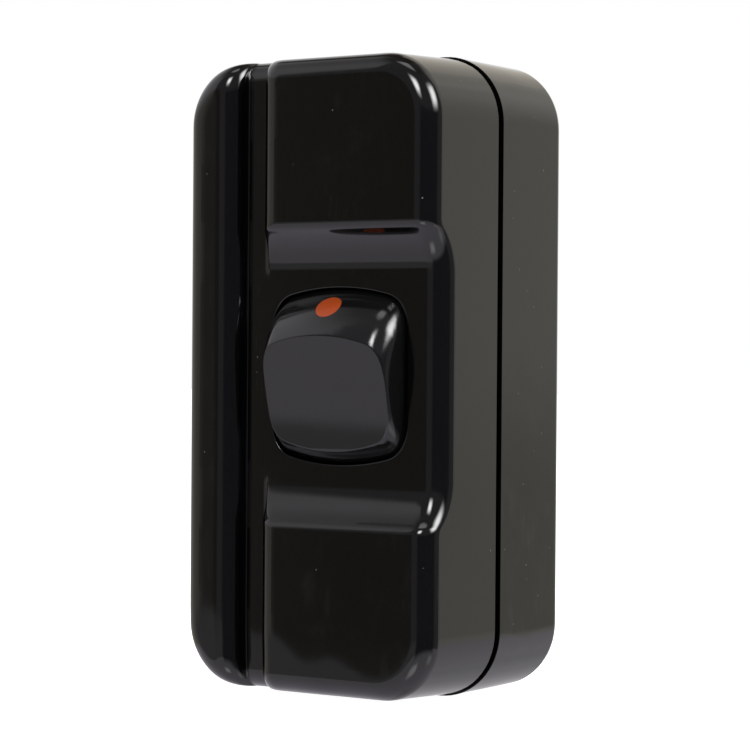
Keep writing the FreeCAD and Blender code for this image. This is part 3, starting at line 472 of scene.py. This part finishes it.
innerPlastics = {
    "orangeMark": {
        "fresh": (0.33, 0.043, 0.0006, 1),
        "aged": (0.28, 0.035, 0.0005, 1),
        "gloss": (0.3, 0.45),
        "grainScale": 7.0,
        "grainDepth": 0.004,
        "nodes": ["on_indicator_dot"],
    },
    "cradlePlastic": {
        "fresh": (0.55, 0.52, 0.45, 1),
        "aged": (0.47, 0.44, 0.37, 1),
        "gloss": (0.35, 0.55),
        "grainScale": 5.0,
        "grainDepth": 0.008,
        "nodes": ["switch_base"],
    },
    "clampPlastic": {
        "fresh": (0.012, 0.012, 0.012, 1),
        "aged": (0.022, 0.021, 0.02, 1),
        "gloss": (0.35, 0.55),
        "grainScale": 5.0,
        "grainDepth": 0.01,
        "nodes": ["lower_cord_clamp", "upper_cord_clamp"],
    },
    "nylon": {
        "fresh": (0.62, 0.6, 0.54, 1),
        "aged": (0.54, 0.52, 0.46, 1),
        "gloss": (0.3, 0.45),
        "grainScale": 6.0,
        "grainDepth": 0.005,
        "nodes": ["plunger"],
    },
}
innerMetals = {
    "brass": {
        "bright": (0.78, 0.56, 0.22, 1),
        "tarnished": (0.5, 0.33, 0.13, 1),
        "gloss": (0.22, 0.42),
        "markDepth": 0.006,
        "nodes": ["moving_contact", "common_bracket", "fixed_contact", "supply_terminal",
                  "load_terminal", "neutral_connector", "earth_connector", "case_inserts"],
    },
    "contactSilver": {
        "bright": (0.86, 0.85, 0.82, 1),
        "tarnished": (0.62, 0.6, 0.57, 1),
        "gloss": (0.2, 0.38),
        "markDepth": 0.004,
        "nodes": ["moving_contact_tip", "fixed_contact_tip"],
    },
    "zincSteel": {
        "bright": (0.62, 0.63, 0.64, 1),
        "tarnished": (0.42, 0.42, 0.42, 1),
        "gloss": (0.28, 0.45),
        "markDepth": 0.005,
        "nodes": ["plunger_spring", "mechanism_screws", "terminal_screws", "cord_clamp_screws",
                  "case_screws"],
    },
}


def mouldedPlastic(name, finish):
    material, tree, shader = newMaterial(name)
    grain = effectNode(tree, "grain", Scale=finish["grainScale"], Drift=0.2)
    colour = mixNode(tree, grain["Share"], finish["fresh"], finish["aged"])
    setSocket(tree, shader.inputs["Base Color"], colour)
    low, high = finish["gloss"]
    smudge = effectNode(tree, "smudge", Low=low, High=high, Scale=0.25)
    setSocket(tree, shader.inputs["Roughness"], smudge["Roughness"])
    setSocket(tree, shader.inputs["Normal"], bumpNode(tree, grain["Height"], finish["grainDepth"]))
    return material


def workedMetal(name, finish):
    material, tree, shader = newMaterial(name)
    marks = effectNode(tree, "toolMarks", Scale=3.0, Tarnish=0.3)
    colour = mixNode(tree, marks["Dull"], finish["bright"], finish["tarnished"])
    setSocket(tree, shader.inputs["Base Color"], colour)
    rough = rampNode(tree, marks["Dull"], 0.0, 1.0, *finish["gloss"])
    setSocket(tree, shader.inputs["Roughness"], rough)
    setSocket(tree, shader.inputs["Normal"], bumpNode(tree, marks["Streak"], finish["markDepth"]))
    shader.inputs["Metallic"].default_value = 1.0
    return material


shellMaterial = shellBlack()
rockerMaterial = rockerSatin()
for finishes, build in ((innerPlastics, mouldedPlastic), (innerMetals, workedMetal)):
    for name, finish in finishes.items():
        material = build(name, finish)
        for node in finish["nodes"]:
            nodes[node].data.materials.clear()
            nodes[node].data.materials.append(material)
print("materials made")


# Pieces

meshing = {"areaWeight": 100, "joinDigits": 4}


def addPiece(name, points, faces, material, sharpAngle):
    # points in millimetres; smooth shading, sharp where faces meet past sharpAngle degrees
    mesh = bpy.data.meshes.new(name)
    mesh.from_pydata((points * mm).tolist(), [], faces)
    mesh.materials.append(material)
    mesh.shade_smooth()
    mesh.set_sharp_from_angle(angle=math.radians(sharpAngle))
    piece = bpy.data.objects.new(name, mesh)
    scene.collection.objects.link(piece)
    weighted = piece.modifiers.new("evenShading", "WEIGHTED_NORMAL")
    weighted.keep_sharp = True
    weighted.weight = meshing["areaWeight"]
    return piece


def joinCorners(points, faces):
    # coincident corners become one; loose points and faces that shrink to a line are left out
    used, numbers = np.unique(faces, return_inverse=True)
    rounded = np.round(points[used], meshing["joinDigits"])
    places, joined = np.unique(rounded, axis=0, return_inverse=True)
    faces = joined.reshape(-1)[numbers.reshape(faces.shape)]
    fresh = faces != np.roll(faces, 1, axis=1)
    counts = fresh.sum(axis=1)
    lists = []
    for count in range(3, faces.shape[1] + 1):
        lists += faces[counts == count][fresh[counts == count]].reshape(-1, count).tolist()
    return places, lists


def mergedCopy(node):
    # the node's triangles with coincident corners joined, in millimetres
    mesh = node.data
    points = np.empty(len(mesh.vertices) * 3)
    mesh.vertices.foreach_get("co", points)
    corners = np.empty(len(mesh.loops), int)
    mesh.loops.foreach_get("vertex_index", corners)
    return joinCorners(points.reshape(-1, 3) / mm, corners.reshape(-1, 3))


# Front half: face grid, edge strip, opening ring and inner skin, one closed surface

frontForm = {
    "halfWidth": 18.2,
    "height": 76.0,
    "corner": 8.0,
    "draft": 2.0,
    "depth": 13.9,
    "edgeRound": 2.6,
    "edgeBreak": 0.2,
    "edgeBack": 0.2,
    "sideRows": (0.66, 0.33, 0.0),
    "wall": 2.2,
    "ceiling": 8.9,
    "lipReach": 1.5,
    "gridInset": 3.7,
    "recess": 2.8,
    "channelLeft": -10.25,
    "channelRight": -6.95,
    "channelRound": 2.6,
    "saddleFloor": 11.9,
    "saddleTop": 18.3,
    "saddleRound": 7.1,
    "mitreSoft": 0.7,
    "holdShare": 0.015,
    "fineShare": 0.6,
    "cordHole": 3.7,
    "holeMargin": 0.006,
    "sagSlope": 0.04,
    "sagLine": 5.4,
    "sagSlant": 0.27,
    "sagWave": 0.9,
    "sagCrest": 5.0,
    "sagPitch": 1.5,
    "sagSoft": 0.6,
    "sharpAngle": 38,
}
frontSteps = {
    "rail": 10,
    "shoulder": 15,
    "crease": 5,
    "channel": 6,
    "cordHole": 25,
    "block": 7,
    "corner": 15,
    "floor": 13,
    "sweep": 20,
    "brow": 10,
    "blockEnd": (6, 17),
    "edge": 17,
    "rim": 6,
    "openingWall": 4,
    "openingTrace": 600,
    "boss": 32,
}
openingForm = {
    "x": 3.2,
    "pivotY": -5.25,
    "corner": 3.35,
    "flatHalf": 6.2,
    "crown": 32.68,
    "radius": 11.85,
    "rimRound": 0.25,
    "patchLow": -7.3,
    "patchHigh": 14.0,
    "patchHalf": 11.4,
    "flatShares": (0.35, 0.7, 0.92, 1.0),
}
bosses = [
    {"x": 11.6, "z": 7.2, "outer": 3.4, "bore": 2.38, "reach": 0.0},
    {"x": -11.6, "z": 68.8, "outer": 3.4, "bore": 2.38, "reach": 0.0},
    {"x": 3.2, "z": 22.49, "outer": 2.8, "bore": 1.38, "reach": 4.4},
    {"x": 3.2, "z": 53.51, "outer": 2.8, "bore": 1.38, "reach": 4.4},
]
tiny = 1e-6


def channelColumns():
    # x and depth across the front: rail, rounded shoulder, creased floor, rounded shoulder, block
    form, steps = frontForm, frontSteps
    rise, floor = form["channelRound"], form["recess"]
    bend = floor - rise
    left, right = form["channelLeft"], form["channelRight"]
    arcStart = form["halfWidth"] - form["corner"]
    arcRadius = form["corner"] - form["gridInset"]
    railEdge = math.asin((rise - left - arcStart) / arcRadius)
    rail = -arcStart - arcRadius * np.sin(np.linspace(math.pi / 2, railEdge, steps["rail"]))[:-1]
    turn = np.radians(np.linspace(0, 90, steps["shoulder"]))
    tuck = np.radians(np.linspace(0, 90, steps["crease"]))[1:]
    slope = np.concatenate((left - rise + rise * np.sin(turn), left + bend - bend * np.cos(tuck)))
    slopeDepth = np.concatenate((rise - rise * np.cos(turn), rise + bend * np.sin(tuck)))
    base = np.linspace(left + bend, right - bend, steps["channel"])[1:-1]
    hole = form["cordHole"] * np.sin(np.radians(np.linspace(-90, 90, steps["cordHole"])))
    beside = np.array((form["cordHole"] * (1 + form["holeMargin"]),))
    plain = np.linspace(form["cordHole"], arcStart, steps["block"])[1:]
    corner = arcStart + arcRadius * np.sin(np.radians(np.linspace(0, 90, steps["corner"])))[1:]
    corner = np.sort(np.append(corner, openingForm["patchHigh"]))
    block = np.concatenate((-beside[right + rise < -beside], hole, beside, plain, corner))
    x = np.concatenate((rail, slope, base, left + right - slope[::-1], block))
    depth = np.concatenate((0 * rail, slopeDepth, 0 * base + floor, slopeDepth[::-1], 0 * block))
    return x, depth


def saddleRows():
    # height from the middle and depth: flat floor, concave sweep, convex brow
    form, steps = frontForm, frontSteps
    floorEnd, top = form["saddleFloor"], form["saddleTop"]
    recess, sweep = form["recess"], form["saddleRound"]
    run = top - floorEnd
    brow = (run ** 2 + recess ** 2) / (2 * recess) - sweep
    lean = 2 * math.atan2(recess, run)
    down = np.linspace(0, lean, steps["sweep"])[1:]
    over = np.linspace(lean, 0, steps["brow"])[1:]
    flat = np.append(np.linspace(0, floorEnd, steps["floor"]), openingForm["patchHalf"])
    flat = np.sort(flat)
    up = np.concatenate((flat, floorEnd + sweep * np.sin(down), top - brow * np.sin(over)))
    deep = np.concatenate((0 * flat + recess, recess - sweep * (1 - np.cos(down)),
                           brow * (1 - np.cos(over))))
    return np.concatenate((-up[:0:-1], up)), np.concatenate((deep[:0:-1], deep))


def endSag(x, z):
    # the lower end falls away at an even slope, with a soft start, below a slanting, wavy line
    form = frontForm
    wave = form["sagWave"] * np.cos((x - form["sagCrest"]) / form["sagPitch"])
    below = form["sagLine"] - form["sagSlant"] * x + wave - z
    return form["sagSlope"] * (below + np.hypot(below, form["sagSoft"])) / 2


def faceGrid():
    # columns across and rows up the face: each row keeps its height over the saddle, and its share
    # of the way from the saddle's top to the outline over the blocks; the row at holdShare, close
    # to the brow, keeps the shading there even
    form = frontForm
    middle, top = form["height"] / 2, form["saddleTop"]
    columns, channel = channelColumns()
    rows, saddle = saddleRows()
    coarse, fine = frontSteps["blockEnd"]
    shares = np.concatenate(((form["holdShare"],), np.linspace(0, form["fineShare"], coarse)[1:],
                             np.linspace(form["fineShare"], 1, fine)[1:]))
    arcStart, arcRadius = form["halfWidth"] - form["corner"], form["corner"] - form["gridInset"]
    over = np.clip(np.abs(columns) - arcStart, 0, arcRadius)
    limit = middle - form["corner"] + np.sqrt(arcRadius ** 2 - over ** 2)
    outer = top + (limit[:, None] - top) * shares
    z = np.concatenate((-outer[:, ::-1], np.tile(rows, (len(columns), 1)), outer), axis=1)
    saddle = np.concatenate((0 * shares, saddle, 0 * shares))
    x = np.tile(columns[:, None], (1, z.shape[1]))

    # depth is the larger of the two reliefs, with the corner between their walls softened, most at
    # half depth and not at all on the floor
    right = columns > (form["channelLeft"] + form["channelRight"]) / 2
    first = np.tile(channel[:, None], (1, z.shape[1]))
    second = np.where(right[:, None], saddle[None, :], 0.0)
    level = np.minimum(first, second) / form["recess"]
    soft = form["mitreSoft"] * 4 * level * (1 - np.maximum(first, second) / form["recess"])
    depth = (first + second + np.sqrt((first - second) ** 2 + soft ** 2)) / 2
    depth = np.minimum(depth, form["recess"]) + endSag(x, z + middle)
    return columns, np.stack((x, depth - form["depth"], z + middle), axis=2)


def edgeProfile(crest):
    # inset and y of the rows round the edge: round, drafted side, broken edge, lip, inner wall;
    # the edge lies edgeBack behind the parting plane, where the shadow line is seen
    form = frontForm
    tilt = math.radians(form["draft"])
    radius, back, broken = form["edgeRound"], form["edgeBack"], form["edgeBreak"]
    centre = (radius + crest * math.sin(tilt)) / math.cos(tilt)
    rows = [(centre - radius * math.cos(turn), -crest - radius * math.sin(turn))
            for turn in np.linspace(math.pi / 2, tilt, frontSteps["edge"])]
    foot = broken - back
    sides = [foot + (crest - foot) * height for height in form["sideRows"]]
    rows += [(side * math.tan(tilt), -side) for side in sides]
    step, reach, wall = form["wall"] / 2, form["lipReach"], form["wall"]
    inner = wall + form["ceiling"] * math.tan(tilt)
    section = ((broken - back * math.tan(tilt), back), (step, back), (step, reach), (wall, reach),
               (wall, 0.0), (inner, -form["ceiling"]))
    return rows + [(0 * crest + inset, 0 * crest + y) for inset, y in section]


def openingAt(length, signX, signZ, y, grow):
    # the opening's edge at depth y: a rocker-shaped section turned about its pivot line, grown outwards
    form = openingForm
    inner = form["crown"] - form["corner"]
    shoulder = math.sqrt(inner ** 2 - form["flatHalf"] ** 2)
    centre = form["radius"] - form["crown"]
    touch = math.atan2(shoulder, form["flatHalf"])

    def quarter(share, y, grow):
        # share 0 to 1 runs up the straight side, 1 to 2 round the corner arc, 2 to 3 along the crown
        drop = y - form["pivotY"]
        turn = np.clip(share - 1, 0, 1) * touch
        sweep = touch + np.clip(share - 2, 0, 1) * (math.pi / 2 - touch)
        corner, crown = form["corner"] + grow, form["crown"] + grow
        onSide = share < 2
        x = np.where(onSide, form["flatHalf"] + corner * np.cos(turn), crown * np.cos(sweep))
        reach = np.where(onSide, shoulder + corner * np.sin(turn), crown * np.sin(sweep)) + centre
        z = np.sqrt(reach ** 2 - drop ** 2) * np.clip(share, 0, 1)
        return x, z

    share = np.linspace(0, 3, frontSteps["openingTrace"])
    x, z = quarter(share, frontForm["recess"] - frontForm["depth"], 0.0)
    along = np.concatenate(((0,), np.cumsum(np.hypot(np.diff(x), np.diff(z)))))
    # lengths 0 to 1 run up to the middle of the corner arc, 1 to 2 from there on
    half = np.interp(1.5, share, along)
    wanted = np.where(length < 1, length * half, half + (length - 1) * (along[-1] - half))
    x, z = quarter(np.interp(wanted, along, share), y, grow)
    return form["x"] + signX * x, frontForm["height"] / 2 + signZ * z


def gridLoop(grid, i0, i1, j0, j1):
    # the numbers round a block of the grid, in order
    return np.concatenate((grid[i0:i1, j0], grid[i1, j0:j1], grid[i1:i0:-1, j1], grid[i0, j1:j0:-1]))


def addPoints(skin, row):
    here = np.arange(skin["total"], skin["total"] + len(row))
    skin["points"].append(row)
    skin["total"] += len(row)
    return here


def addStrip(skin, first, second):
    # quads between two closed loops of point numbers
    quads = (second, np.roll(second, -1), np.roll(first, -1), first)
    skin["faces"].append(np.stack(quads, axis=1))


def addEdge(skin, start, before):
    # the edge profile carried along the outline's normal, cut back round the cord entries
    form = frontForm
    middle, corner, inset = form["height"] / 2, form["corner"], form["gridInset"]
    arcStart, arcRadius = form["halfWidth"] - corner, corner - inset
    lean = np.clip(np.abs(start[:, 0]) - arcStart, 0, arcRadius) / arcRadius
    lean = np.where(np.abs(start[:, 2] - middle) > middle - corner - tiny, lean, 1.0)
    upright = np.sign(start[:, 2] - middle) * np.sqrt(1 - lean ** 2)
    normal = np.stack((np.sign(start[:, 0]) * lean, 0 * lean, upright), axis=1)
    crown = start + normal * (inset - form["edgeRound"])
    fall = endSag(crown[:, 0], crown[:, 2]) - endSag(start[:, 0], start[:, 2])
    crest = -start[:, 1] - fall - form["edgeRound"]
    hole = form["cordHole"]
    inEntry = np.abs(start[:, 0]) < hole * (1 + form["holeMargin"] / 2)
    notch = -np.sqrt(np.maximum(hole ** 2 - start[:, 0] ** 2, 0))
    notch = np.where(inEntry, notch, form["lipReach"])
    for rowInset, y in edgeProfile(crest):
        row = start + normal * (inset - rowInset)[:, None]
        row[:, 1] = np.minimum(y, notch)
        here = addPoints(skin, row)
        addStrip(skin, before, here)
        before = here
    return before


def addOpening(skin, place, before):
    # flat to the opening's rim, over the rim's round and down the wall to the inner skin
    form, opening = frontForm, openingForm
    dx, dz = place[:, 0] - opening["x"], place[:, 2] - form["height"] / 2
    wide = np.where(dx > 0, dx.max(), -dx.min())
    onSide = np.abs(dx) > wide - tiny
    length = np.where(onSide, np.abs(dz) / opening["patchHalf"], 2 - np.abs(dx) / wide)
    floor, rim = form["recess"] - form["depth"], opening["rimRound"]

    def ringRow(y, grow):
        x, z = openingAt(length, np.sign(dx), np.sign(dz), y, grow)
        return np.stack((x, np.full(len(x), y), z), axis=1)

    lip = ringRow(floor, rim)
    ring = [place + (lip - place) * share for share in opening["flatShares"]]
    ring += [ringRow(floor + rim - rim * math.sin(turn), rim - rim * math.cos(turn))
             for turn in np.linspace(math.pi / 2, 0, frontSteps["rim"])[1:]]
    ring += [ringRow(y, 0.0)
             for y in np.linspace(floor + rim, -form["ceiling"], frontSteps["openingWall"])[1:]]
    for row in ring:
        here = addPoints(skin, row)
        addStrip(skin, here, before)
        before = here
    return before


def addBoss(skin, boss):
    # closed ring: a rectangular section turned about the screw's line
    root = -frontForm["ceiling"] - frontForm["wall"] / 2
    around = np.linspace(0, 2 * math.pi, frontSteps["boss"] + 1)[:-1]
    section = ((boss["outer"], root), (boss["outer"], boss["reach"]),
               (boss["bore"], boss["reach"]), (boss["bore"], root))
    loops = [addPoints(skin, np.stack((boss["x"] + radius * np.cos(around), 0 * around + y,
                                       boss["z"] + radius * np.sin(around)), axis=1))
             for radius, y in section]
    for k, loop in enumerate(loops):
        addStrip(skin, loops[k - 1], loop)


def frontCase():
    skin = {"points": [], "faces": [], "total": 0}
    opening = openingForm
    columns, face = faceGrid()
    count = face.shape[:2]
    number = addPoints(skin, face.reshape(-1, 3)).reshape(count)
    quads = np.stack((number[:-1, :-1], number[1:, :-1], number[1:, 1:], number[:-1, 1:]), axis=2)
    heights = face[0, :, 2] - frontForm["height"] / 2
    left, right = np.searchsorted(columns, (opening["patchLow"], opening["patchHigh"] - tiny))
    low, high = np.searchsorted(heights + tiny, (-opening["patchHalf"], opening["patchHalf"]))
    keep = np.ones(quads.shape[:2], bool)
    keep[left:right, low:high] = False
    quads = quads[keep]
    skin["faces"].append(quads)
    points = skin["points"][0]
    edge = gridLoop(number, 0, count[0] - 1, 0, count[1] - 1)
    innerEdge = addEdge(skin, points[edge], edge)
    rim = gridLoop(number, left, right, low, high)
    innerRim = addOpening(skin, points[rim], rim)

    # inner skin: the face grid again at the ceiling, turned to look inwards
    inner = points.copy()
    inner[:, 1] = -frontForm["ceiling"]
    offset = addPoints(skin, inner)[0]
    skin["faces"].append(quads[:, ::-1] + offset)
    addStrip(skin, innerEdge, edge + offset)
    addStrip(skin, rim + offset, innerRim)
    for boss in bosses:
        addBoss(skin, boss)
    points, faces = joinCorners(np.concatenate(skin["points"]), np.concatenate(skin["faces"]))
    piece = addPiece("frontCase", points, faces, shellMaterial, frontForm["sharpAngle"])
    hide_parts("front_shell")
    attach(piece, "case")


frontCase()
print("front half built")


# Rear half and rocker: the solids' own forms with their corners joined, so that rounds shade evenly

rearForm = {
    "halfWidth": 18.45,
    "low": -0.25,
    "high": 76.25,
    "corner": 8.25,
    "rimWidth": 1.3,
    "rimBack": 0.75,
    "sharpAngle": 25,
}


def rearCase():
    # the rim stands back by rimBack, so that the shadow line lies where the photograph shows it
    form = rearForm
    points, faces = mergedCopy(nodes["rear_shell"])
    middle, halfHeight = (form["low"] + form["high"]) / 2, (form["high"] - form["low"]) / 2
    core = np.array((form["halfWidth"], halfHeight)) - form["corner"]
    plan = points[:, (0, 2)] - np.array((0.0, middle))
    off = plan - np.clip(plan, -core, core)
    onRim = np.hypot(off[:, 0], off[:, 1]) > form["corner"] - form["rimWidth"]
    points[onRim, 1] = np.maximum(points[onRim, 1], form["rimBack"])
    piece = addPiece("rearCase", points, faces, shellMaterial, form["sharpAngle"])
    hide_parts("rear_shell")
    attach(piece, "case")


rockerForm = {
    "pivot": (3.2, -5.25, 38.0),
    "tilt": 12.5,
    "rise": 8.85,
    "dish": 80.0,
    "faceBand": 0.03,
    "sharpAngle": 25,
}


def rockerCap():
    form = rockerForm
    points, faces = mergedCopy(nodes["rocker"])
    piece = addPiece("rockerCap", points, faces, rockerMaterial, form["sharpAngle"])
    # share of the pressed face: one where a corner lies on the dish, a cylinder about a line in front
    tilt = math.radians(form["tilt"])
    local = points - np.array(form["pivot"])
    y = local[:, 1] * math.cos(tilt) + local[:, 2] * math.sin(tilt)
    z = local[:, 2] * math.cos(tilt) - local[:, 1] * math.sin(tilt)
    off = np.abs(np.hypot(y + form["rise"] + form["dish"], z) - form["dish"])
    share = piece.data.attributes.new("faceShare", "FLOAT", "POINT")
    share.data.foreach_set("value", (off < form["faceBand"]).astype(np.float32))
    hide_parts("rocker")
    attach(piece, "rocker")


rearCase()
rockerCap()
print("rear half and rocker built")
